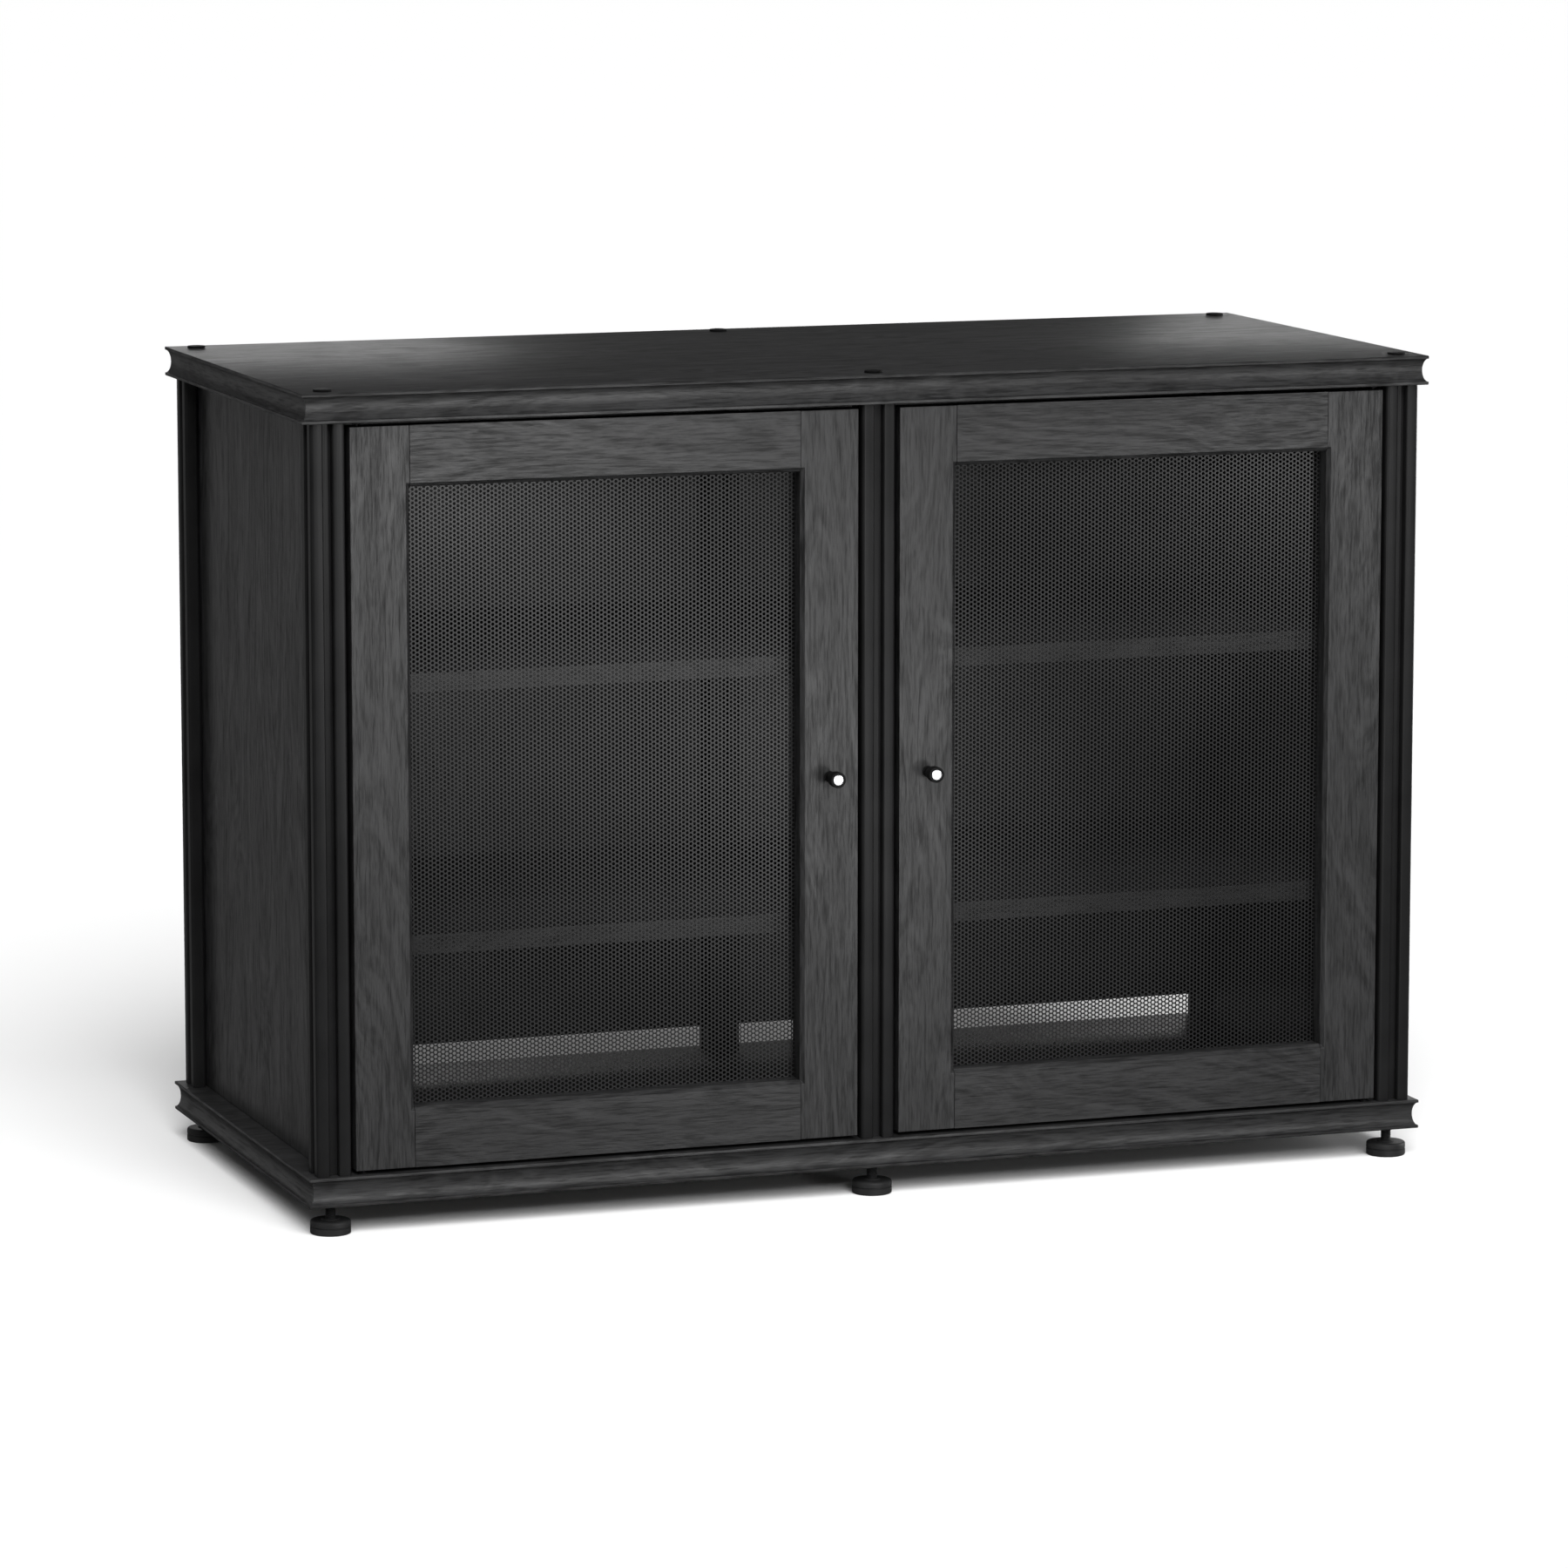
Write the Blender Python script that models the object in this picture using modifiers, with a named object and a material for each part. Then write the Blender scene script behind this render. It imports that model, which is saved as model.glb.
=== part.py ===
"""Two-bay media cabinet: slotted metal posts between two thick boards, framed doors with
perforated sheets, adjustable shelves and levelling feet.

Metres, +Z up, front towards -Y. The origin is on the floor, at the middle of the whole
object's box, knobs included.
"""

import math

import bmesh
import bpy

# Carcass
WIDTH = 1.120  # across the boards
DEPTH = 0.495  # across the boards
CARCASS_HEIGHT = 0.7555  # from the bottom board's underside to the top board's upper face
BOARD_THICKNESS = 0.028
COVE_LIP = 0.0028  # thickness of the lips above and below the cove
COVE_DEPTH = 0.0048
COVE_LEVELS = 7
SIDE_OVERHANG = 0.0085  # board edge to the posts' outer faces
FRONT_OVERHANG = 0.0045
REAR_OVERHANG = 0.009

# Posts, an extrusion with a slot down each face and a round core
POST_SIZE = 0.033
POST_CORNER = 0.0006
SLOT_WIDTH = 0.009
SLOT_DEPTH = 0.008
CORE_RADIUS = 0.0055

# Panels let into the slots
PANEL_THICKNESS = 0.006
SLOT_BITE = 0.007  # how far a panel or lug reaches into a slot
CABLE_GAP = 0.0255  # bottom board to the back panels' lower edges

# Bolts and feet on the posts' axes
BOLT_HEAD_RADIUS = 0.0086
BOLT_HEAD_HEIGHT = 0.002
BOLT_RADIUS = 0.004
BOLT_GRIP = 0.020  # bolt inside the post
FOOT_HEIGHT = 0.028  # floor to the bottom board's underside
PAD_RADIUS = 0.019
PAD_HEIGHT = 0.013
STUD_RADIUS = 0.005
STUD_GRIP = 0.025  # stud inside the post

# Doors
DOOR_THICKNESS = 0.022
DOOR_SIDE_GAP = 0.0042
DOOR_END_GAP = 0.0038  # above and below a door
FRAME_MEMBER = 0.057  # width of a stile or rail
RABBET_WIDTH = 0.008
SHEET_RECESS = 0.0187  # door's front face to the sheet
SHEET_THICKNESS = 0.0012
RETAINER_THICKNESS = 0.0015
PIVOT_FROM_EDGE = 0.008
PIVOT_FROM_FRONT = 0.006
PIVOT_RADIUS = 0.002
PIVOT_BITE = 0.010  # pivot pin inside the stile
PIVOT_FLANGE_RADIUS = 0.0045
PIVOT_FLANGE_THICKNESS = 0.0012

# Knobs
KNOB_LENGTH = 0.025
KNOB_RADIUS = 0.0075
KNOB_NECK_RADIUS = 0.0045
KNOB_NECK_LENGTH = 0.009
KNOB_TIP_RADIUS = 0.0053
KNOB_TIP_SINK = 0.0016

# Shelves and their rails
SHELF_THICKNESS = 0.019
SHELF_SIDE_GAP = 0.0015
SHELF_SETBACK = 0.018  # doors' back faces to the shelves' front edges
SHELF_REAR_GAP = 0.0055
SHELF_TOPS = {"upper": 0.489, "lower": 0.243}  # above the bottom board's underside
RAIL_HEIGHT = 0.018
RAIL_WIDTH = 0.012
RAIL_TAB = 0.0027  # thin front end, beside the closed door
RAIL_HOOK = 0.0021  # rear end, in the slot in front of the back panel
RAIL_SETBACK = 0.005  # doors' back faces to the rails' full width

# Magnetic catches
CATCH_SIZE = (0.019, 0.013, 0.034)
STRIKE_SIZE = (0.012, 0.0012, 0.030)
STRIKE_INSET = 0.002  # door's edge to the strike

SEAT = 0.0003  # gap left between touching pieces
RUNNING = 0.00008  # radial clearance of a pivot pin in its bore
HOLE_CLEARANCE = 0.0005  # radial clearance of bolts and studs

# Places that follow from the sizes
SIDE_PANEL_SETBACK = POST_SIZE / 2 + SLOT_WIDTH / 2 - SEAT - PANEL_THICKNESS
BACK_PANEL_SETBACK = POST_SIZE / 2 - SLOT_WIDTH / 2 + SEAT
BOARD_BOTTOM = FOOT_HEIGHT
FLOOR_INSIDE = BOARD_BOTTOM + BOARD_THICKNESS
TOP_OUTSIDE = BOARD_BOTTOM + CARCASS_HEIGHT
CEILING_INSIDE = TOP_OUTSIDE - BOARD_THICKNESS
KNOB_REACH = KNOB_LENGTH + SEAT - FRONT_OVERHANG  # knob's end beyond the board's edge
BOARD_CENTER_Y = KNOB_REACH / 2
FRONT_EDGE = BOARD_CENTER_Y - DEPTH / 2
POST_FRONT = FRONT_EDGE + FRONT_OVERHANG
POST_REAR = BOARD_CENTER_Y + DEPTH / 2 - REAR_OVERHANG
POST_X = {
    "left": -WIDTH / 2 + SIDE_OVERHANG + POST_SIZE / 2,
    "center": 0.0,
    "right": WIDTH / 2 - SIDE_OVERHANG - POST_SIZE / 2,
}
POST_Y = {"front": POST_FRONT + POST_SIZE / 2, "rear": POST_REAR - POST_SIZE / 2}
POST_AXES = {
    f"{row}_{column}": (x, y) for row, y in POST_Y.items() for column, x in POST_X.items()
}
SIDES = {"left": -1, "right": 1}
BAY_OUTER = abs(POST_X["left"]) - POST_SIZE / 2  # distance from the middle to a bay's outer post
BAY_INNER = POST_SIZE / 2
DOOR_BACK = POST_FRONT + DOOR_THICKNESS
DOOR_BOTTOM = FLOOR_INSIDE + DOOR_END_GAP
DOOR_TOP = CEILING_INSIDE - DOOR_END_GAP
DOOR_OUTER = BAY_OUTER - DOOR_SIDE_GAP
DOOR_INNER = BAY_INNER + DOOR_SIDE_GAP
DOOR_WIDTH = DOOR_OUTER - DOOR_INNER
BACK_PANEL_REAR = POST_REAR - BACK_PANEL_SETBACK


def clear_scene():
    for obj in list(bpy.data.objects):
        bpy.data.objects.remove(obj, do_unlink=True)


def make_collection(name):
    collection = bpy.data.collections.new(name)
    bpy.context.scene.collection.children.link(collection)
    return collection


def make_material(name, color, roughness, metallic=0.0):
    material = bpy.data.materials.new(name)
    material.use_nodes = True
    shader = material.node_tree.nodes["Principled BSDF"]
    shader.inputs["Base Color"].default_value = (*color, 1.0)
    shader.inputs["Roughness"].default_value = roughness
    shader.inputs["Metallic"].default_value = metallic
    material.diffuse_color = (*color, 1.0)
    return material


clear_scene()
CABINET = make_collection("media_cabinet")
CUTTERS = make_collection("cutters")
BLACK_WOOD = make_material("black_wood", (0.030, 0.030, 0.031), 0.42)
BLACK_METAL = make_material("black_anodised_metal", (0.012, 0.012, 0.013), 0.38, 0.7)
BLACK_SHEET = make_material("black_perforated_sheet", (0.015, 0.015, 0.016), 0.5, 0.6)
BLACK_PLASTIC = make_material("black_plastic", (0.010, 0.010, 0.010), 0.55)
BRIGHT_METAL = make_material("bright_metal", (0.75, 0.75, 0.76), 0.25, 1.0)
STEEL = make_material("plain_steel", (0.45, 0.45, 0.46), 0.35, 1.0)


def finish_object(obj, name, material, collection=None):
    """Name the object, give it its material and put it in its collection."""
    obj.name = name
    obj.data.name = name
    if material:
        obj.data.materials.append(material)
    for other in list(obj.users_collection):
        other.objects.unlink(obj)
    (collection or CABINET).objects.link(obj)
    return obj


def box(name, low, high, material, collection=None):
    """A box from its lowest corner to its highest."""
    center = [(a + b) / 2 for a, b in zip(low, high)]
    bpy.ops.mesh.primitive_cube_add(size=1, location=center)
    obj = bpy.context.object
    obj.scale = [b - a for a, b in zip(low, high)]
    bpy.ops.object.transform_apply(location=False, rotation=False, scale=True)
    return finish_object(obj, name, material, collection)


def prism(name, outlines, low_z, high_z, material):
    """An upright solid whose plan is the first outline, less any other outlines."""
    curve = bpy.data.curves.new(name, "CURVE")
    curve.dimensions = "2D"
    curve.fill_mode = "BOTH"
    curve.extrude = (high_z - low_z) / 2
    for outline in outlines:
        spline = curve.splines.new("POLY")
        spline.points.add(len(outline) - 1)
        for point, (x, y) in zip(spline.points, outline):
            point.co = (x, y, 0, 1)
        spline.use_cyclic_u = True
    obj = bpy.data.objects.new(name, curve)
    obj.location.z = (low_z + high_z) / 2
    return finish_object(obj, name, material)


def turned(name, profile, material, steps=20):
    """A solid turned about Z. The profile's (radius, height) points run from top to bottom."""
    mesh = bpy.data.meshes.new(name)
    points = [(radius, 0, height) for radius, height in profile]
    mesh.from_pydata(points, [(i, i + 1) for i in range(len(points) - 1)], [])
    obj = bpy.data.objects.new(name, mesh)
    finish_object(obj, name, material)
    screw = obj.modifiers.new("Turn", "SCREW")
    screw.steps = screw.render_steps = steps
    screw.use_merge_vertices = True
    screw.merge_threshold = 0.00001
    screw.use_smooth_shade = True
    return obj


def cylinder(name, radius, low_z, high_z, x, y, vertices=20):
    """An upright cylinder that cuts a hole."""
    bpy.ops.mesh.primitive_cylinder_add(
        vertices=vertices,
        radius=radius,
        depth=high_z - low_z,
        location=(x, y, (low_z + high_z) / 2),
    )
    obj = finish_object(bpy.context.object, name, None, CUTTERS)
    obj.hide_render = True
    obj.display_type = "WIRE"
    return obj


def cut(obj, cutter):
    modifier = obj.modifiers.new("Cut " + cutter.name, "BOOLEAN")
    modifier.operation = "DIFFERENCE"
    modifier.solver = "EXACT"
    modifier.object = cutter


def as_mesh(obj):
    """Replace a curve object with its own welded mesh, so that it can be cut."""
    bpy.context.view_layer.update()
    evaluated = obj.evaluated_get(bpy.context.evaluated_depsgraph_get())
    mesh = bpy.data.meshes.new_from_object(evaluated)
    mesh_obj = bpy.data.objects.new(obj.name + "_mesh", mesh)
    mesh_obj.matrix_world = obj.matrix_world.copy()
    bm = bmesh.new()
    bm.from_mesh(mesh)
    bmesh.ops.remove_doubles(bm, verts=bm.verts, dist=0.00001)
    bm.to_mesh(mesh)
    bm.free()
    name = obj.name
    bpy.data.objects.remove(obj, do_unlink=True)
    return finish_object(mesh_obj, name, None)


def circle(radius, x, y, count=16):
    turns = [2 * math.pi * i / count for i in range(count)]
    return [(x + radius * math.cos(a), y + radius * math.sin(a)) for a in turns]


def cove_depth(height):
    """How far the board's edge is hollowed, at this height above the board's underside."""
    half = BOARD_THICKNESS / 2 - COVE_LIP
    across = (height - BOARD_THICKNESS / 2) / half
    return COVE_DEPTH * math.sqrt(max(0.0, 1 - across * across))


def make_board(name, low_z):
    """A slab whose four edges are hollowed between a thin lip above and one below."""
    half_width, half_depth = WIDTH / 2, DEPTH / 2
    low = (-half_width, BOARD_CENTER_Y - half_depth, low_z)
    high = (half_width, BOARD_CENTER_Y + half_depth, low_z + BOARD_THICKNESS)
    board = box(name, low, high, BLACK_WOOD)
    bm = bmesh.new()
    bm.from_mesh(board.data)
    hollow = BOARD_THICKNESS - 2 * COVE_LIP
    levels = [COVE_LIP + hollow * i / (COVE_LEVELS - 1) for i in range(COVE_LEVELS)]
    for level in levels:
        bmesh.ops.bisect_plane(
            bm,
            geom=bm.verts[:] + bm.edges[:] + bm.faces[:],
            plane_co=(0, 0, level - BOARD_THICKNESS / 2),
            plane_no=(0, 0, 1),
        )
    for vert in bm.verts:
        inset = cove_depth(vert.co.z + BOARD_THICKNESS / 2)
        vert.co.x -= math.copysign(inset, vert.co.x)
        vert.co.y -= math.copysign(inset, vert.co.y)
    bm.to_mesh(board.data)
    bm.free()
    return board


def drill_over_posts(board, radius, low_z, high_z):
    for place, (x, y) in POST_AXES.items():
        cut(board, cylinder(f"{board.name}_{place}_hole", radius, low_z, high_z, x, y, 16))


def make_boards():
    spare = 0.01  # cutters pass both faces
    bottom = make_board("bottom_board", BOARD_BOTTOM)
    top = make_board("top_board", CEILING_INSIDE)
    stud_hole = STUD_RADIUS + HOLE_CLEARANCE
    bolt_hole = BOLT_RADIUS + HOLE_CLEARANCE
    drill_over_posts(bottom, stud_hole, BOARD_BOTTOM - spare, FLOOR_INSIDE + spare)
    drill_over_posts(top, bolt_hole, CEILING_INSIDE - spare, TOP_OUTSIDE + spare)


def slotted_square(x, y):
    """Plan of a post: a square with a slot in the middle of each side."""
    half, slot = POST_SIZE / 2, SLOT_WIDTH / 2
    side = [
        (-half + POST_CORNER, -half),
        (-slot, -half),
        (-slot, -half + SLOT_DEPTH),
        (slot, -half + SLOT_DEPTH),
        (slot, -half),
        (half - POST_CORNER, -half),
    ]
    outline = []
    for quarter in range(4):
        c, s = round(math.cos(quarter * math.pi / 2)), round(math.sin(quarter * math.pi / 2))
        outline += [(x + u * c - v * s, y + u * s + v * c) for u, v in side]
    return outline


def make_posts():
    for place, (x, y) in POST_AXES.items():
        outlines = [slotted_square(x, y), circle(CORE_RADIUS, x, y)]
        prism(place + "_post", outlines, FLOOR_INSIDE + SEAT, CEILING_INSIDE - SEAT, BLACK_METAL)


def make_bolts():
    """Flat round heads on the top board, with shanks down into the posts' cores."""
    chamfer = BOLT_HEAD_HEIGHT / 4
    head_top = SEAT + BOLT_HEAD_HEIGHT
    shank_end = -BOARD_THICKNESS - BOLT_GRIP
    profile = [
        (0, head_top),
        (BOLT_HEAD_RADIUS - chamfer, head_top),
        (BOLT_HEAD_RADIUS, head_top - chamfer),
        (BOLT_HEAD_RADIUS, SEAT),
        (BOLT_RADIUS, SEAT),
        (BOLT_RADIUS, shank_end),
        (0, shank_end),
    ]
    for place, (x, y) in POST_AXES.items():
        bolt = turned(place + "_bolt", profile, BLACK_METAL)
        bolt.location = (x, y, TOP_OUTSIDE)


def make_feet():
    """Round pads on threaded studs that screw up into the posts' cores."""
    rim = PAD_HEIGHT / 8
    stud_top = FOOT_HEIGHT + BOARD_THICKNESS + STUD_GRIP
    profile = [
        (0, stud_top),
        (STUD_RADIUS, stud_top),
        (STUD_RADIUS, PAD_HEIGHT),
        (PAD_RADIUS - rim, PAD_HEIGHT),
        (PAD_RADIUS, PAD_HEIGHT - rim),
        (PAD_RADIUS, 0),
        (0, 0),
    ]
    for place, (x, y) in POST_AXES.items():
        foot = turned(place + "_foot", profile, BLACK_PLASTIC)
        foot.location = (x, y, 0)


def make_panels():
    """Side panels between the corner posts and back panels between the rear posts."""
    post_inner_front = POST_FRONT + POST_SIZE
    post_inner_rear = POST_REAR - POST_SIZE
    top = CEILING_INSIDE - SEAT
    for side, sign in SIDES.items():
        outer = abs(POST_X["left"]) + POST_SIZE / 2 - SIDE_PANEL_SETBACK
        faces = sorted((sign * outer, sign * (outer - PANEL_THICKNESS)))
        box(
            side + "_side_panel",
            (faces[0], post_inner_front - SLOT_BITE, FLOOR_INSIDE + SEAT),
            (faces[1], post_inner_rear + SLOT_BITE, top),
            BLACK_WOOD,
        )
        ends = sorted((sign * (BAY_INNER - SLOT_BITE), sign * (BAY_OUTER + SLOT_BITE)))
        box(
            side + "_back_panel",
            (ends[0], BACK_PANEL_REAR - PANEL_THICKNESS, FLOOR_INSIDE + CABLE_GAP),
            (ends[1], BACK_PANEL_REAR, top),
            BLACK_WOOD,
        )


def rail_outline(face, inward):
    """Plan of a shelf rail beside a post face at x = face. inward is +1 or -1 along X."""
    front_slot = POST_Y["front"]
    lug = SLOT_WIDTH / 2 - SEAT
    hook_front = POST_Y["rear"] - SLOT_WIDTH / 2 + SEAT
    hook_rear = hook_front + RAIL_HOOK
    bar_front = DOOR_BACK + RAIL_SETBACK
    inner_reach = SLOT_BITE - HOLE_CLEARANCE
    outline = [
        (-inner_reach, front_slot - lug),
        (SEAT + RAIL_TAB, front_slot - lug),
        (SEAT + RAIL_TAB, bar_front),
        (RAIL_WIDTH, bar_front),
        (RAIL_WIDTH, hook_rear),
        (-inner_reach, hook_rear),
        (-inner_reach, hook_front),
        (SEAT, hook_front),
        (SEAT, front_slot + lug),
        (-inner_reach, front_slot + lug),
    ]
    return [(face + inward * u, v) for u, v in outline]


def make_shelves():
    front = DOOR_BACK + SHELF_SETBACK
    rear = BACK_PANEL_REAR - PANEL_THICKNESS - SHELF_REAR_GAP
    for side, sign in SIDES.items():
        ends = sorted((sign * (BAY_INNER + SHELF_SIDE_GAP), sign * (BAY_OUTER - SHELF_SIDE_GAP)))
        for level, top in SHELF_TOPS.items():
            name = f"{side}_{level}_shelf"
            shelf_top = BOARD_BOTTOM + top
            underside = shelf_top - SHELF_THICKNESS
            box(name, (ends[0], front, underside), (ends[1], rear, shelf_top), BLACK_WOOD)
            rail_top = underside - SEAT
            for edge, face, inward in (("outer", BAY_OUTER, -sign), ("inner", BAY_INNER, sign)):
                outline = rail_outline(sign * face, inward)
                rail_bottom = rail_top - RAIL_HEIGHT
                prism(f"{name}_{edge}_rail", [outline], rail_bottom, rail_top, BLACK_METAL)


def stile_outline(outer, inward):
    """Plan of a stile from its outer edge. The rear inner corner is rabbeted for the sheet."""
    rabbet_front = POST_FRONT + SHEET_RECESS
    outline = [
        (0, POST_FRONT),
        (FRAME_MEMBER, POST_FRONT),
        (FRAME_MEMBER, rabbet_front),
        (FRAME_MEMBER - RABBET_WIDTH, rabbet_front),
        (FRAME_MEMBER - RABBET_WIDTH, DOOR_BACK),
        (0, DOOR_BACK),
    ]
    return [(outer + inward * u, v) for u, v in outline]


def make_rail(name, ends, outer_z, inward):
    """A door rail between the stiles, rabbeted like them. inward is +1 or -1 along Z."""
    inner_z = outer_z + inward * FRAME_MEMBER
    rabbet_z = inner_z - inward * RABBET_WIDTH
    low_z, high_z = sorted((outer_z, inner_z))
    rail = box(name, (ends[0], POST_FRONT, low_z), (ends[1], DOOR_BACK, high_z), BLACK_WOOD)
    spare = 0.01
    past = sorted((rabbet_z, inner_z + inward * spare))
    cutter = box(
        name + "_rabbet",
        (ends[0] - spare, POST_FRONT + SHEET_RECESS, past[0]),
        (ends[1] + spare, DOOR_BACK + spare, past[1]),
        None,
        CUTTERS,
    )
    cutter.hide_render = True
    cutter.display_type = "WIRE"
    cut(rail, cutter)


def make_door_frame(door, sign):
    outer, inner = sign * DOOR_OUTER, sign * DOOR_INNER
    hinge_stile = prism(
        door + "_hinge_stile", [stile_outline(outer, -sign)], DOOR_BOTTOM, DOOR_TOP, BLACK_WOOD
    )
    prism(door + "_handle_stile", [stile_outline(inner, sign)], DOOR_BOTTOM, DOOR_TOP, BLACK_WOOD)
    hinge_stile = as_mesh(hinge_stile)
    axis_x = sign * (DOOR_OUTER - PIVOT_FROM_EDGE)
    axis_y = POST_FRONT + PIVOT_FROM_FRONT
    bore = PIVOT_RADIUS + RUNNING
    depth = PIVOT_BITE + SEAT
    for end, low, high in (
        ("top", DOOR_TOP - depth, DOOR_TOP + depth),
        ("bottom", DOOR_BOTTOM - depth, DOOR_BOTTOM + depth),
    ):
        cut(hinge_stile, cylinder(f"{door}_{end}_bore", bore, low, high, axis_x, axis_y, 16))
    reach = FRAME_MEMBER + SEAT
    ends = sorted((sign * (DOOR_OUTER - reach), sign * (DOOR_INNER + reach)))
    make_rail(door + "_top_rail", ends, DOOR_TOP, -1)
    make_rail(door + "_bottom_rail", ends, DOOR_BOTTOM, 1)


def make_sheet(door, sign):
    """The perforated sheet in the frame's rabbet, and the flat ring that holds it there."""
    edge = FRAME_MEMBER - RABBET_WIDTH + SEAT
    xs = sorted((sign * (DOOR_OUTER - edge), sign * (DOOR_INNER + edge)))
    zs = (DOOR_BOTTOM + edge, DOOR_TOP - edge)
    sheet_front = POST_FRONT + SHEET_RECESS + SEAT
    sheet_back = sheet_front + SHEET_THICKNESS
    box(
        door + "_perforated_sheet",
        (xs[0], sheet_front, zs[0]),
        (xs[1], sheet_back, zs[1]),
        BLACK_SHEET,
    )
    ring_front = sheet_back + SEAT
    ring_back = ring_front + RETAINER_THICKNESS
    ring = box(
        door + "_sheet_retainer", (xs[0], ring_front, zs[0]), (xs[1], ring_back, zs[1]), STEEL
    )
    window = box(
        door + "_retainer_window",
        (xs[0] + RABBET_WIDTH, ring_front - SEAT, zs[0] + RABBET_WIDTH),
        (xs[1] - RABBET_WIDTH, ring_back + SEAT, zs[1] - RABBET_WIDTH),
        None,
        CUTTERS,
    )
    window.hide_render = True
    window.display_type = "WIRE"
    cut(ring, window)


def make_knob(door, sign):
    """A turned knob on the handle stile, with a bright disc let into its end."""
    edge = KNOB_RADIUS / 12
    profile = [
        (0, KNOB_LENGTH - KNOB_TIP_SINK),
        (KNOB_TIP_RADIUS + SEAT, KNOB_LENGTH - KNOB_TIP_SINK),
        (KNOB_TIP_RADIUS + SEAT, KNOB_LENGTH),
        (KNOB_RADIUS - edge, KNOB_LENGTH),
        (KNOB_RADIUS, KNOB_LENGTH - edge),
        (KNOB_RADIUS, KNOB_NECK_LENGTH),
        (KNOB_NECK_RADIUS, KNOB_NECK_LENGTH - KNOB_RADIUS / 5),
        (KNOB_NECK_RADIUS, 0),
        (0, 0),
    ]
    tip_profile = [
        (0, KNOB_LENGTH),
        (KNOB_TIP_RADIUS, KNOB_LENGTH),
        (KNOB_TIP_RADIUS, KNOB_LENGTH - KNOB_TIP_SINK + SEAT),
        (0, KNOB_LENGTH - KNOB_TIP_SINK + SEAT),
    ]
    x = sign * (DOOR_INNER + FRAME_MEMBER / 2)
    z = (DOOR_BOTTOM + DOOR_TOP) / 2
    knob = turned(door + "_knob", profile, BLACK_METAL)
    tip = turned(door + "_knob_tip", tip_profile, BRIGHT_METAL)
    for obj in (knob, tip):
        obj.rotation_euler.x = math.pi / 2
        obj.location = (x, POST_FRONT - SEAT, z)


def make_pivots(door, sign):
    """Flanged pins on the boards, in bores in the ends of the hinge stile."""
    flange = PIVOT_FLANGE_THICKNESS
    reach = DOOR_END_GAP + PIVOT_BITE
    profile = [
        (0, -SEAT),
        (PIVOT_FLANGE_RADIUS, -SEAT),
        (PIVOT_FLANGE_RADIUS, -SEAT - flange),
        (PIVOT_RADIUS, -SEAT - flange),
        (PIVOT_RADIUS, -reach),
        (0, -reach),
    ]
    x = sign * (DOOR_OUTER - PIVOT_FROM_EDGE)
    y = POST_FRONT + PIVOT_FROM_FRONT
    top = turned(door + "_top_pivot", profile, STEEL, 16)
    top.location = (x, y, CEILING_INSIDE)
    bottom = turned(door + "_bottom_pivot", profile, STEEL, 16)
    bottom.location = (x, y, FLOOR_INSIDE)
    bottom.rotation_euler.x = math.pi


def make_catch(door, sign):
    """A magnetic catch on the centre post, clear of both shelves' travel, and its strike plate."""
    rail_levels = [top - SHELF_THICKNESS - SEAT - RAIL_HEIGHT for top in SHELF_TOPS.values()]
    z = BOARD_BOTTOM + (min(SHELF_TOPS.values()) + max(rail_levels)) / 2
    strike_x = sorted(
        sign * (DOOR_INNER + STRIKE_INSET + width) for width in (0, STRIKE_SIZE[0])
    )
    strike_front = DOOR_BACK + SEAT
    strike_back = strike_front + STRIKE_SIZE[1]
    box(
        door + "_strike",
        (strike_x[0], strike_front, z - STRIKE_SIZE[2] / 2),
        (strike_x[1], strike_back, z + STRIKE_SIZE[2] / 2),
        STEEL,
    )
    catch_x = sorted(sign * (BAY_INNER + SEAT + width) for width in (0, CATCH_SIZE[0]))
    catch_front = strike_back + SEAT
    box(
        door + "_catch",
        (catch_x[0], catch_front, z - CATCH_SIZE[2] / 2),
        (catch_x[1], catch_front + CATCH_SIZE[1], z + CATCH_SIZE[2] / 2),
        BLACK_PLASTIC,
    )


def hang_doors():
    """Each door's pieces are parented to an empty on its pivot axis."""
    swinging = (
        "hinge_stile",
        "handle_stile",
        "top_rail",
        "bottom_rail",
        "perforated_sheet",
        "sheet_retainer",
        "knob",
        "knob_tip",
        "strike",
    )
    for side, sign in SIDES.items():
        door = side + "_door"
        make_door_frame(door, sign)
        make_sheet(door, sign)
        make_knob(door, sign)
        make_pivots(door, sign)
        make_catch(door, sign)
        axis = bpy.data.objects.new(door + "_axis", None)
        axis.location = (
            sign * (DOOR_OUTER - PIVOT_FROM_EDGE),
            POST_FRONT + PIVOT_FROM_FRONT,
            (DOOR_BOTTOM + DOOR_TOP) / 2,
        )
        CABINET.objects.link(axis)
        bpy.context.view_layer.update()
        for piece in swinging:
            obj = bpy.data.objects[f"{door}_{piece}"]
            obj.parent = axis
            obj.matrix_parent_inverse = axis.matrix_world.inverted()


make_boards()
make_posts()
make_bolts()
make_feet()
make_panels()
make_shelves()
hang_doors()
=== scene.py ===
"""Looks for the two-bay media cabinet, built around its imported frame.

Metres, +Z up, front towards -Y, in the frame's own coordinates. Pieces that need finer shapes
than the frame's nodes replace them: boards, posts, bolts, feet, door frames, perforated sheets,
knobs with their tips, and catches. The panels, shelves, rails, pivots, retainers and strikes stay
the frame's own and get a material, and the boxes among them get softened edges.
"""

import math

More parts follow.
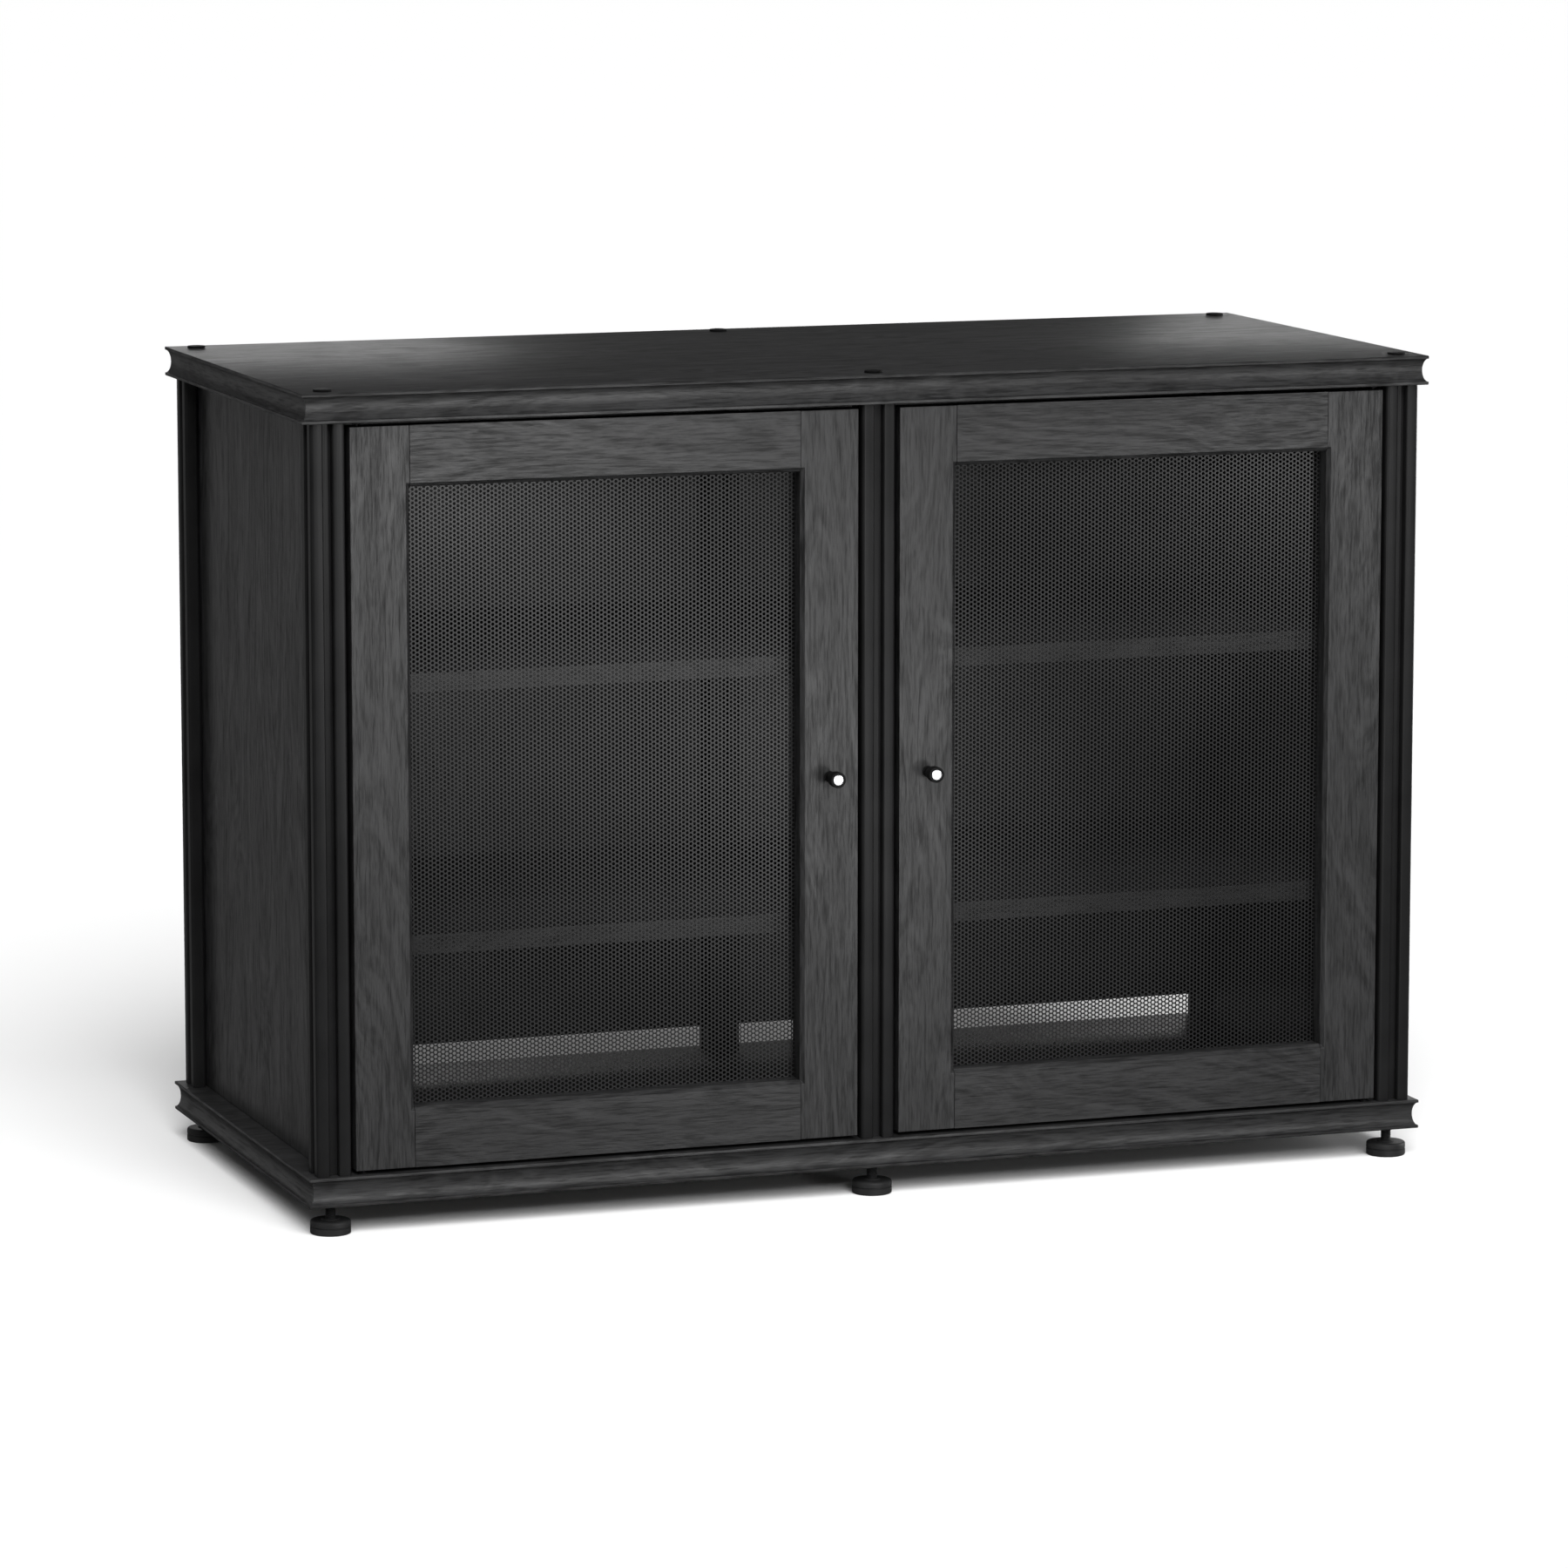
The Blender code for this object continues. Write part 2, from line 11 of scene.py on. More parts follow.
import bmesh
import bpy
import numpy as np
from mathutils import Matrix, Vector


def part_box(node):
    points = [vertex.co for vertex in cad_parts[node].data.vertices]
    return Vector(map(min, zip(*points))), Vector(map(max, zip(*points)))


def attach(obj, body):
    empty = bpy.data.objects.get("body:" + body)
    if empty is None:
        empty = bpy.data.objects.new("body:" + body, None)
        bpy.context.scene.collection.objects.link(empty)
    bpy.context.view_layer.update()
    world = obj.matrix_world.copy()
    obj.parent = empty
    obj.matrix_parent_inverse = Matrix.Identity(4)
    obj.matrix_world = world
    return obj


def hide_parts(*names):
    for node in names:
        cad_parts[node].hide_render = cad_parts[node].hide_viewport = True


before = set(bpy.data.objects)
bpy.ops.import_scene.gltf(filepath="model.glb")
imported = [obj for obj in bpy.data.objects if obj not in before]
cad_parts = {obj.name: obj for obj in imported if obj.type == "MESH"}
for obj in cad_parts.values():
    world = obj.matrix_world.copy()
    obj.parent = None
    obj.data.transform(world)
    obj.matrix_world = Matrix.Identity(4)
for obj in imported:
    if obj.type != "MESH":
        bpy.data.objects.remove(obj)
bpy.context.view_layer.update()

SIDES = {"left": -1, "right": 1}
ROWS = ("front", "rear")
COLUMNS = ("left", "center", "right")
PLACES = [f"{row}_{column}" for row in ROWS for column in COLUMNS]
LEVELS = ("upper", "lower")

# Boards
COVE_LIP = 0.0028
COVE_DEPTH = 0.0048
COVE_STEPS = 14
ARRIS = 0.0006  # rounding of a board's or panel's edges

# Posts
SLOT_WIDTH = 0.009
SLOT_DEPTH = 0.008
POST_CORNER = 0.0030
SLOT_MOUTH = 0.0016  # rounding of the ribs beside a slot

# Bolts
CAP_HEIGHT = 0.002  # of a bolt's cap above the board
CAP_RIM = 0.0007  # rounding of the cap's edge
SOCKET_DEPTH = 0.0008

# Feet
PAD_HEIGHT = 0.013
PAD_ROUNDING = 0.0022
PAD_FOOT = 0.001  # chamfer where the pad meets the floor
PAD_GROOVE_DEPTH = 0.0008
PAD_GROOVE_WIDTH = 0.0018
PAD_GROOVE_SLOPE = 0.0004  # of its two walls
PAD_GROOVE_HEIGHT = 0.0058
COLLAR_HEIGHT = 0.0012
STUD_RADIUS = 0.005
STUD_PITCH = 0.0015

# Doors
FRAME_ARRIS = 0.0005
CHAMFER = 0.0038  # round the opening, on the front
RABBET_WIDTH = 0.008
SHEET_RECESS = 0.0187
PIVOT_BORE = 0.00208  # radius
BORE_ROOM = 0.0005  # past the pin's end
CUT_PAST = 0.01  # how far a cutter stands out of what it cuts
HOLE_PITCH = 0.0042  # between holes of one column
HOLE_RADIUS = 0.0015
HOLE_CORNERS = 12

# Knobs
NECK_RADIUS = 0.0045
KNOB_EDGE = 0.0009  # rounding of the knob's rim
KNOB_FOOT = 0.0008  # thickness of the collar that stands on the stile
TIP_RECESS = 0.0022
TIP_ROOM = 0.0002  # between the tip and the wall of its recess
TIP_CROWN = 0.0003
TIP_PROUD = 0.0001  # of the knob's end
RING_PITCH = 0.00022  # of the lathe's marks on bright metal

# Shades of black, as linear reflectance
WOOD_DARK = 0.004
WOOD_LIGHT = 0.026
PANEL_LIGHT = 0.028


# ---------------------------------------------------------------- materials


class Tree:
    """A material's node tree, with short calls for making and joining nodes."""

    def __init__(self, name):
        self.material = bpy.data.materials.new(name)
        self.material.use_nodes = True
        self.nodes = self.material.node_tree.nodes
        self.links = self.material.node_tree.links
        self.shader = self.nodes["Principled BSDF"]

    def add(self, kind, **settings):
        node = self.nodes.new("ShaderNode" + kind)
        for key, value in settings.items():
            setattr(node, key, value)
        return node

    def feed(self, socket, value):
        if isinstance(value, bpy.types.NodeSocket):
            self.links.new(value, socket)
        else:
            socket.default_value = value

    def scaled(self, scale):
        """The object's coordinates, in metres, times scale along each axis."""
        coords = self.add("TexCoord")
        mapping = self.add("Mapping")
        self.links.new(coords.outputs["Object"], mapping.inputs["Vector"])
        mapping.inputs["Scale"].default_value = scale
        return mapping.outputs["Vector"]

    def noise(self, scale, detail=3.0, rough=0.55, offset=None):
        vector = self.scaled(scale)
        if offset is not None:
            shift = self.add("VectorMath", operation="ADD")
            self.feed(shift.inputs[0], vector)
            self.feed(shift.inputs[1], offset)
            vector = shift.outputs["Vector"]
        node = self.add("TexNoise")
        node.inputs["Scale"].default_value = 1.0
        node.inputs["Detail"].default_value = detail
        node.inputs["Roughness"].default_value = rough
        self.feed(node.inputs["Vector"], vector)
        return node.outputs["Fac"]

    def math(self, operation, first, second=0.0):
        node = self.add("Math", operation=operation)
        self.feed(node.inputs[0], first)
        self.feed(node.inputs[1], second)
        return node.outputs["Value"]

    def spread(self, value, low, high, out_low=0.0, out_high=1.0):
        """value taken from the range low to high onto another range, and held inside it."""
        node = self.add("MapRange")
        self.feed(node.inputs["Value"], value)
        node.inputs["From Min"].default_value = low
        node.inputs["From Max"].default_value = high
        node.inputs["To Min"].default_value = out_low
        node.inputs["To Max"].default_value = out_high
        return node.outputs["Result"]

    def shades(self, value, stops):
        """A grey ramp: stops are (position, reflectance)."""
        ramp = self.add("ValToRGB")
        elements = ramp.color_ramp.elements
        while len(elements) < len(stops):
            elements.new(0.5)
        for element, (position, grey) in zip(elements, stops):
            element.position = position
            element.color = (grey, grey, grey * 1.02, 1.0)
        self.feed(ramp.inputs["Fac"], value)
        return ramp.outputs["Color"]

    def bump(self, height, distance, strength=1.0):
        node = self.add("Bump")
        node.inputs["Distance"].default_value = distance
        node.inputs["Strength"].default_value = strength
        self.feed(node.inputs["Height"], height)
        self.links.new(node.outputs["Normal"], self.shader.inputs["Normal"])

    def surface(self, **values):
        for key, value in values.items():
            self.feed(self.shader.inputs[key.replace("_", " ")], value)
        return self.material


def along(axis, lengthwise, across):
    """A scale with one value along the grain's axis and another across it."""
    return tuple(lengthwise if letter == axis else across for letter in "XYZ")


def wood(name, grain, light=WOOD_LIGHT):
    """Black open-grain veneer under a satin lacquer. grain is the axis its fibres follow.

    Broad wavy figure sets the tone, and flecks and pores darken it, more so where it is dark.
    """
    tree = Tree(name)
    sway = tree.noise(along(grain, 2.2, 9.0), detail=1.0)
    drift = tree.math("MULTIPLY", sway, 26.0)
    figure = tree.noise(along(grain, 2.0, 60.0), detail=3.0, offset=drift)
    streaks = tree.noise(along(grain, 30.0, 430.0), detail=3.0, rough=0.6)
    pores = tree.noise(along(grain, 90.0, 1300.0), detail=2.0)
    flecks = tree.spread(streaks, 0.48, 0.64)
    fleck_depth = tree.spread(figure, 0.34, 0.66, 0.50, 0.26)
    pits = tree.spread(pores, 0.50, 0.62, 0.0, 0.18)
    depth = tree.math("ADD", tree.math("MULTIPLY", flecks, fleck_depth), pits)
    tone = tree.math("SUBTRACT", tree.spread(figure, 0.34, 0.66, 0.60, 0.90), depth)
    middle = (WOOD_DARK + light) / 2.6
    tree.bump(tree.math("SUBTRACT", 1.0, depth), 0.00018, 0.7)
    return tree.surface(
        Base_Color=tree.shades(tone, [(0.0, WOOD_DARK), (0.5, middle), (0.9, light)]),
        Roughness=tree.spread(tone, 0.0, 0.9, 0.52, 0.37),
        Specular_IOR_Level=0.5,
    )


def anodised(name, grain):
    """Black anodised aluminium, with the faint drawn lines of an extrusion."""
    tree = Tree(name)
    drawn = tree.noise(along(grain, 6.0, 1500.0), detail=2.0)
    cloud = tree.noise((18.0, 18.0, 18.0), detail=3.0)
    tree.bump(drawn, 0.00004, 0.5)
    return tree.surface(
        Base_Color=tree.shades(cloud, [(0.3, 0.006), (0.7, 0.009)]),
        Roughness=tree.spread(drawn, 0.3, 0.7, 0.32, 0.42),
        Specular_IOR_Level=0.18,
    )


def powder_coat(name):
    """Black powder coat with a fine orange-peel surface."""
    tree = Tree(name)
    peel = tree.noise((900.0, 900.0, 900.0), detail=2.0)
    cloud = tree.noise((12.0, 12.0, 12.0), detail=2.0)
    tree.bump(peel, 0.00004, 0.35)
    return tree.surface(
        Base_Color=tree.shades(cloud, [(0.3, 0.008), (0.7, 0.012)]),
        Roughness=tree.spread(peel, 0.3, 0.7, 0.30, 0.36),
        Specular_IOR_Level=0.36,
    )


def blackened(name):
    """Dull blackened steel, for the bolt caps, knobs, pivots and retainers."""
    tree = Tree(name)
    peel = tree.noise((1300.0, 1300.0, 1300.0), detail=2.0)
    cloud = tree.noise((40.0, 40.0, 40.0), detail=3.0)
    tree.bump(peel, 0.00003, 0.35)
    return tree.surface(
        Base_Color=tree.shades(cloud, [(0.3, 0.003), (0.7, 0.006)]),
        Roughness=tree.spread(peel, 0.3, 0.7, 0.46, 0.56),
        Specular_IOR_Level=0.2,
    )


def moulded(name):
    """Black moulded plastic, finely spark-eroded, with a little dust in its tone."""
    tree = Tree(name)
    texture = tree.noise((1400.0, 1400.0, 1400.0), detail=3.0)
    cloud = tree.noise((60.0, 60.0, 60.0), detail=4.0)
    tree.bump(texture, 0.00006, 0.5)
    return tree.surface(
        Base_Color=tree.shades(cloud, [(0.25, 0.009), (0.75, 0.016)]),
        Roughness=tree.spread(texture, 0.3, 0.7, 0.42, 0.60),
        Specular_IOR_Level=0.45,
    )


def turned_metal(name):
    """Bright metal, faced off in a lathe: rings round the knob's own axis, which runs along Y."""
    tree = Tree(name)
    coords = tree.add("TexCoord")
    split = tree.add("SeparateXYZ")
    tree.links.new(coords.outputs["Object"], split.inputs["Vector"])
    # each knob's piece has its origin on its own axis
    squares = [tree.math("MULTIPLY", split.outputs[a], split.outputs[a]) for a in "XZ"]
    radius = tree.math("SQRT", tree.math("ADD", *squares))
    phase = tree.math("MULTIPLY", radius, 2 * math.pi / RING_PITCH)
    rings = tree.math("SINE", phase)
    grain = tree.noise((2200.0, 2200.0, 2200.0), detail=2.0)
    tree.bump(tree.math("ADD", rings, grain), 0.000006, 0.5)
    return tree.surface(
        Base_Color=tree.shades(grain, [(0.2, 0.80), (0.8, 0.90)]),
        Metallic=1.0,
        Roughness=tree.spread(grain, 0.3, 0.7, 0.24, 0.34),
    )


def zinc(name):
    """Plain zinc-plated steel, faintly mottled."""
    tree = Tree(name)
    mottle = tree.noise((160.0, 160.0, 160.0), detail=4.0)
    scuff = tree.noise((900.0, 900.0, 120.0), detail=2.0)
    tree.bump(scuff, 0.00003, 0.4)
    return tree.surface(
        Base_Color=tree.shades(mottle, [(0.3, 0.36), (0.7, 0.50)]),
        Metallic=1.0,
        Roughness=tree.spread(mottle, 0.3, 0.7, 0.30, 0.46),
    )


WOOD = {axis: wood("black_wood_" + axis.lower(), axis) for axis in "XYZ"}
PANEL = wood("black_panel_z", "Z", PANEL_LIGHT)
POST_METAL = anodised("black_anodised_z", "Z")
RAIL_METAL = anodised("black_anodised_y", "Y")
SHEET_COAT = powder_coat("black_powder_coat")
BLACK_METAL = blackened("black_hardware")
PLASTIC = moulded("black_moulded")
BRIGHT = turned_metal("bright_turned")
STEEL = zinc("zinc_steel")


# ---------------------------------------------------------------- shapes


def finished(name, bm, materials, body, nodes, smooth_angle=32.0, origin=(0, 0, 0)):
    """Makes a piece of the bmesh, rides it on its body and lets it stand for its nodes."""
    mesh = bpy.data.meshes.new(name)
    bmesh.ops.recalc_face_normals(bm, faces=bm.faces)
    bmesh.ops.translate(bm, vec=-Vector(origin), verts=bm.verts)
    bm.to_mesh(mesh)
    bm.free()
    for material in materials:
        mesh.materials.append(material)
    mesh.shade_smooth()
    mesh.set_sharp_from_angle(angle=math.radians(smooth_angle))
    piece = bpy.data.objects.new(name, mesh)
    piece.location = origin
    bpy.context.scene.collection.objects.link(piece)
    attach(piece, body)
    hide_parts(*nodes)
    return piece


def loft(bm, loops):
    """Quads between loops of equal length, and a face over each end."""
    rings = [[bm.verts.new(point) for point in loop] for loop in loops]
    for lower, upper in zip(rings, rings[1:]):
        for i in range(len(lower)):
            j = (i + 1) % len(lower)
            bm.faces.new((lower[i], lower[j], upper[j], upper[i]))
    bm.faces.new(rings[0])
    bm.faces.new(rings[-1])


def turned(bm, profile, center, axis, steps=64):
    """Turns (radius, distance) points about an axis letter through center. Ends are on the axis."""
    center = Vector(center)
    lengthwise = "XYZ".index(axis)
    u, v = [i for i in range(3) if i != lengthwise]

    def place(radius, distance, turn):
        point = center.copy()
        point[u] += radius * math.cos(turn)
        point[v] += radius * math.sin(turn)
        point[lengthwise] += distance
        return bm.verts.new(point)

    turns = [2 * math.pi * i / steps for i in range(steps)]
    first = place(0.0, profile[0][1], 0.0)
    last = place(0.0, profile[-1][1], 0.0)
    rings = [[place(r, d, t) for t in turns] for r, d in profile[1:-1]]
    for i in range(steps):
        j = (i + 1) % steps
        bm.faces.new((first, rings[0][i], rings[0][j]))
        bm.faces.new((last, rings[-1][j], rings[-1][i]))
        for lower, upper in zip(rings, rings[1:]):
            bm.faces.new((lower[i], upper[i], upper[j], lower[j]))


def rounded(corners, steps=5):
    """An outline with its corners rounded. corners are (x, y, radius)."""
    outline = []
    for i, (x, y, radius) in enumerate(corners):
        here = Vector((x, y))
        if radius == 0:
            outline.append(here)
            continue
        before = (Vector(corners[i - 1][:2]) - here).normalized()
        after = (Vector(corners[(i + 1) % len(corners)][:2]) - here).normalized()
        half = before.angle(after) / 2
        center = here + (before + after).normalized() * (radius / math.sin(half))
        start = here + before * (radius / math.tan(half)) - center
        end = here + after * (radius / math.tan(half)) - center
        sweep = start.angle_signed(end)
        for step in range(steps + 1):
            turn = -sweep * step / steps
            cos, sin = math.cos(turn), math.sin(turn)
            turned_start = Vector((start.x * cos - start.y * sin, start.x * sin + start.y * cos))
            outline.append(center + turned_start)
    return outline


def arc(center, radius, start, end, steps):
    """(radius, distance) points on a quarter or other arc of a turned profile, degrees."""
    points = []
    for step in range(steps + 1):
        turn = math.radians(start + (end - start) * step / steps)
        points.append((center[0] + radius * math.cos(turn), center[1] + radius * math.sin(turn)))
    return points


def block(low, high):
    """A box between two corners."""
    bm = bmesh.new()
    bmesh.ops.create_cube(bm, size=1.0)
    for vert in bm.verts:
        vert.co = [lo + (c + 0.5) * (hi - lo) for c, lo, hi in zip(vert.co, low, high)]
    return bm


def prism(outline, axis, low, high):
    """An outline in the other two axes, in their order, drawn out along one axis."""
    lengthwise = "XYZ".index(axis)
    loops = []
    for place in (low, high):
        loop = []
        for point in outline:
            coords = list(point)
            coords.insert(lengthwise, place)
            loop.append(coords)
        loops.append(loop)
    bm = bmesh.new()
    loft(bm, loops)
    bmesh.ops.recalc_face_normals(bm, faces=bm.faces)
    return bm


def carved(bm, cutters):
    """The bmesh less each cutter, by exact booleans."""

    def as_object(source, name):
        mesh = bpy.data.meshes.new(name)
        bmesh.ops.recalc_face_normals(source, faces=source.faces)
        source.to_mesh(mesh)
        source.free()
        obj = bpy.data.objects.new(name, mesh)
        bpy.context.scene.collection.objects.link(obj)
        return obj

    body = as_object(bm, "carved")
    tools = [as_object(cutter, "cutter") for cutter in cutters]
    for tool in tools:
        modifier = body.modifiers.new("Cut", "BOOLEAN")
        modifier.operation = "DIFFERENCE"
        modifier.solver = "EXACT"
        modifier.object = tool
    bpy.context.view_layer.update()
    result = bmesh.new()
    result.from_object(body, bpy.context.evaluated_depsgraph_get())
    for obj in [body, *tools]:
        mesh = obj.data
        bpy.data.objects.remove(obj)
        bpy.data.meshes.remove(mesh)
    return result


def soften(obj, width, segments=2, weld=False):
    """Rounds the object's arrises."""
    if weld:
        join = obj.modifiers.new("Join", "WELD")
        join.merge_threshold = 0.00001
    bevel = obj.modifiers.new("Arris", "BEVEL")
    bevel.width = width
    bevel.segments = segments
    bevel.limit_method = "ANGLE"
    bevel.angle_limit = math.radians(30)
    bevel.harden_normals = True


def dress(node, material, arris=None):
    """Gives a node that stays its material and, on a box, softened edges."""
    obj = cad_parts[node]
    for slot in obj.material_slots:
        slot.material = material
    if arris:
        soften(obj, arris, weld=True)


# ---------------------------------------------------------------- carcass


def board_profile(thickness):
    """(inset, height) points up a board's edge: lip, hollow, lip, with rounded arrises."""
    half_hollow = thickness / 2 - COVE_LIP
    hollow = []
    for step in range(COVE_STEPS + 1):
        turn = math.pi * step / COVE_STEPS
        inset = COVE_DEPTH * math.sin(turn)
        hollow.append((inset, thickness / 2 - half_hollow * math.cos(turn)))
    lower = [(ARRIS, 0.0), (ARRIS * 0.3, ARRIS * 0.3), (0.0, ARRIS)]
    upper = [(inset, thickness - height) for inset, height in reversed(lower)]
    return lower + hollow + upper


def make_boards():
    """Both boards, with the grain along X on top and turned along Y on their ends."""
    for node in ("bottom_board", "top_board"):
        low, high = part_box(node)
        loops = []
        for inset, height in board_profile(high.z - low.z):
            left, right = low.x + inset, high.x - inset
            near, far = low.y + inset, high.y - inset
            z = low.z + height
            loops.append([(left, near, z), (right, near, z), (right, far, z), (left, far, z)])
        bm = bmesh.new()
        loft(bm, loops)
        for face in bm.faces:
            face.normal_update()
            sideways, upwards = abs(face.normal.x), abs(face.normal.z)
            face.material_index = int(sideways > max(upwards, 0.3))
        grains = [WOOD["X"], WOOD["Y"]]
        finished(node + "_veneered", bm, grains, "cabinet", [node], 50.0)


def post_outline(center, half):
    """Plan of the extrusion: a square with a slot down each side and rounded ribs."""
    mouth = SLOT_WIDTH / 2
    floor = half - SLOT_DEPTH
    side = [
        (-half, -half, POST_CORNER),
        (-mouth, -half, SLOT_MOUTH),
        (-mouth, -floor, 0.0),
        (mouth, -floor, 0.0),
        (mouth, -half, SLOT_MOUTH),
    ]
    corners = []
    for quarter in range(4):
        cos, sin = (1, 0, -1, 0)[quarter], (0, 1, 0, -1)[quarter]
        corners += [(x * cos - y * sin, x * sin + y * cos, r) for x, y, r in side]
    return [(center.x + p.x, center.y + p.y) for p in rounded(corners)]


def make_posts():
    for place in PLACES:
        node = place + "_post"
        low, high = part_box(node)
        outline = post_outline((low + high) / 2, (high.x - low.x) / 2)
        bm = prism(outline, "Z", low.z, high.z)
        finished(node + "_extrusion", bm, [POST_METAL], "cabinet", [node], 40.0)


def bolt_profile(radius, top, bottom):
    """Cap with a socket in it and a rounded edge, then the shank."""
    shank = radius * 0.46
    under_cap = top - CAP_HEIGHT
    floor = top - SOCKET_DEPTH
    profile = [(0.0, top), (radius * 0.30, top), (radius * 0.30, floor)]
    profile += [(radius * 0.34, floor), (radius * 0.38, top)]
    profile += arc((radius - CAP_RIM, top - CAP_RIM), CAP_RIM, 90, 0, 4)
    return profile + [(radius, under_cap), (shank, under_cap), (shank, bottom), (0.0, bottom)]


def make_bolts():
    for place in PLACES:
        node = place + "_bolt"
        low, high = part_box(node)
        center = (low + high) / 2
        bm = bmesh.new()
        profile = bolt_profile((high.x - low.x) / 2, high.z, low.z)
        turned(bm, profile, (center.x, center.y, 0.0), "Z", 48)
        finished(node + "_cap", bm, [BLACK_METAL], "cabinet", [node])


def foot_profile(radius, bottom, top):
    """Pad with a groove round it, a collar, and the threaded stud above."""
    pad_top = bottom + PAD_HEIGHT
    groove = bottom + PAD_GROOVE_HEIGHT
    inner = radius - PAD_GROOVE_DEPTH
    profile = [(0.0, bottom), (radius - PAD_FOOT, bottom), (radius, bottom + PAD_FOOT)]
    groove_top = groove + PAD_GROOVE_WIDTH
    profile += [(radius, groove), (inner, groove + PAD_GROOVE_SLOPE)]
    profile += [(inner, groove_top - PAD_GROOVE_SLOPE), (radius, groove_top)]
    profile += arc((radius - PAD_ROUNDING, pad_top - PAD_ROUNDING), PAD_ROUNDING, 0, 90, 6)
    collar = pad_top + COLLAR_HEIGHT
    profile += [(STUD_RADIUS * 1.75, pad_top), (STUD_RADIUS * 1.55, collar)]
    profile += [(STUD_RADIUS * 0.98, collar)]
    z = collar + 0.0004
    while z < top - STUD_PITCH:
        profile += [(STUD_RADIUS, z), (STUD_RADIUS * 0.88, z + STUD_PITCH / 2)]
        z += STUD_PITCH
    return profile + [(STUD_RADIUS * 0.8, top), (0.0, top)]


def make_feet():
    for place in PLACES:
        node = place + "_foot"
        low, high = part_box(node)
        center = (low + high) / 2
        bm = bmesh.new()
        profile = foot_profile((high.x - low.x) / 2, low.z, high.z)
        turned(bm, profile, (center.x, center.y, 0.0), "Z", 56)
        finished(node + "_turned", bm, [PLASTIC], node, [node])


def make_panels():
    for side in SIDES:
        dress(side + "_side_panel", PANEL, ARRIS)
        dress(side + "_back_panel", PANEL, ARRIS)


def make_shelves():
    for side in SIDES:
        for level in LEVELS:
            shelf = f"{side}_{level}_shelf"
            dress(shelf, WOOD["X"], ARRIS * 1.4)
            dress(shelf + "_outer_rail", RAIL_METAL, ARRIS * 0.5)
            dress(shelf + "_inner_rail", RAIL_METAL, ARRIS * 0.5)


# ---------------------------------------------------------------- doors


def opening_of(door):
    """(low x, low z, high x, high z) of the opening inside a door's frame."""
    stiles = [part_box(f"{door}_{end}_stile") for end in ("hinge", "handle")]
    left = min(high.x for _, high in stiles)
    right = max(low.x for low, _ in stiles)
    low_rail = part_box(door + "_bottom_rail")[1].z
    high_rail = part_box(door + "_top_rail")[0].z
    return left, low_rail, right, high_rail


def chamfer_cutter(opening, front):
    """A pyramid's slice that cuts the chamfer round the whole opening, mitred at its corners."""
    spare = 0.004
    left, bottom, right, top = opening
    bm = bmesh.new()
    for grow, y in ((CHAMFER + spare, front - spare), (0.0, front + CHAMFER)):
        for x, z in (
            (left - grow, bottom - grow),
            (right + grow, bottom - grow),
            (right + grow, top + grow),
            (left - grow, top + grow),
        ):
            bm.verts.new((x, y, z))
    bmesh.ops.convex_hull(bm, input=bm.verts)
    return bm


def pivot_bore(door, end, low, high):
    """A cutter for the pivot pin's bore in one end of the hinge stile that spans low to high."""
    pin_low, pin_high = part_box(f"{door}_{end}_pivot")
    middle = (pin_low + pin_high) / 2
    if end == "top":
        bottom, past = pin_low.z - BORE_ROOM, high.z + CUT_PAST
    else:
        bottom, past = pin_high.z + BORE_ROOM, low.z - CUT_PAST
    bm = bmesh.new()
    profile = [(0.0, bottom), (PIVOT_BORE, bottom), (PIVOT_BORE, past), (0.0, past)]
    turned(bm, profile, (middle.x, middle.y, 0.0), "Z", 24)
    return bm


def make_door_frame(side):
    door = side + "_door"
    left, bottom, right, top = opening = opening_of(door)
    for member in ("hinge_stile", "handle_stile", "top_rail", "bottom_rail"):
        node = f"{door}_{member}"
        low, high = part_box(node)
        rabbet = block(
            (left - RABBET_WIDTH, low.y + SHEET_RECESS, bottom - RABBET_WIDTH),
            (right + RABBET_WIDTH, high.y + CUT_PAST, top + RABBET_WIDTH),
        )
        cutters = [chamfer_cutter(opening, low.y), rabbet]
        if member == "hinge_stile":
            cutters += [pivot_bore(door, end, low, high) for end in ("top", "bottom")]
        bm = carved(block(low, high), cutters)
        grain = "Z" if member.endswith("stile") else "X"
        piece = finished(node + "_veneered", bm, [WOOD[grain]], door, [node])
        soften(piece, FRAME_ARRIS)


def hole_points(columns, rows, center, step_x, step_z):
    """The corners of every hole, column by column. Corner k lies at 30 k degrees from +X."""
    column, row = np.meshgrid(np.arange(columns), np.arange(rows), indexing="ij")
    first_x = center.x - step_x * (columns - 1) / 2
    first_z = center.z - step_z * (rows - 0.5) / 2
    center_x = first_x + column * step_x
    center_z = first_z + (row + 0.5 * (column % 2)) * step_z
    turns = np.radians(30.0) * np.arange(HOLE_CORNERS)
    x = center_x[..., None] + HOLE_RADIUS * np.cos(turns)
    z = center_z[..., None] + HOLE_RADIUS * np.sin(turns)
    return np.stack([x, np.full_like(x, center.y), z], axis=-1).reshape(-1, 3)


def hole_webs(columns, rows):
    """The metal between holes: a face among each three holes that are neighbours."""

    def corners(i, j, which):
        return [(i * rows + j) * HOLE_CORNERS + k for k in which]

    webs = []
    for i in range(columns - 1):
        for j in range(rows):
            above = j if i % 2 == 0 else j + 1  # nearest hole of the next column, above this one
            below = above - 1
            if j + 1 < rows and above < rows:
                web = corners(i, j, (3, 2, 1)) + corners(i + 1, above, (7, 6, 5))
                webs.append(web + corners(i, j + 1, (11, 10, 9)))
            if 0 <= below and above < rows:
                web = corners(i, j, (1, 0, 11)) + corners(i + 1, below, (5, 4, 3))
                webs.append(web + corners(i + 1, above, (9, 8, 7)))
    return webs


